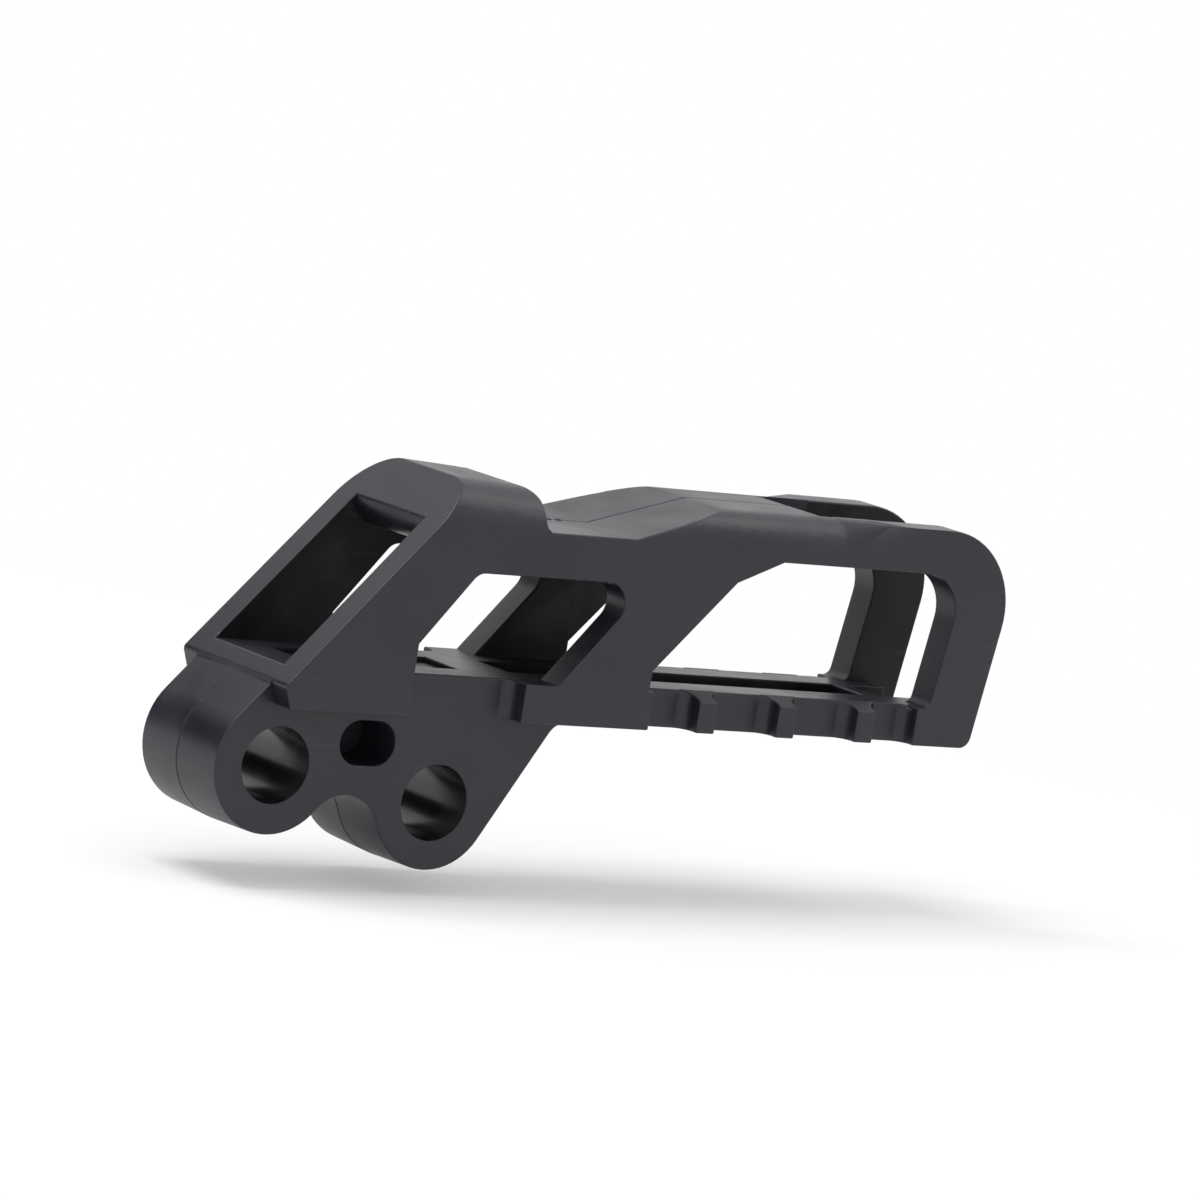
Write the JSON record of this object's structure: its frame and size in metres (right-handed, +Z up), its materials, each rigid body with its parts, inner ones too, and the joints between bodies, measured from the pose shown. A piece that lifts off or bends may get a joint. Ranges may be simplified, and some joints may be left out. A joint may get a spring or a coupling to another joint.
{
  "type": "chain guide",
  "caption": "Moulded chain guide: a boxed tunnel with a sloping mouth, side windows, a ribbed rail and a rounded rear loop, carried by a lug block with mounting bores across it.",
  "frame": {"origin": "centre of the front mounting bore, on the mid-plane of the guide", "axes": "+X along the rail towards the rear loop, +Y across the guide along the mounting bores, +Z up, away from the lugs"},
  "size_m": [0.1681, 0.0358, 0.072],
  "materials": {
    "moulding": "satin, finely textured"
  },
  "bodies": {
    "root": {"chain_guide": "moulding"}
  },
  "joints": []
}
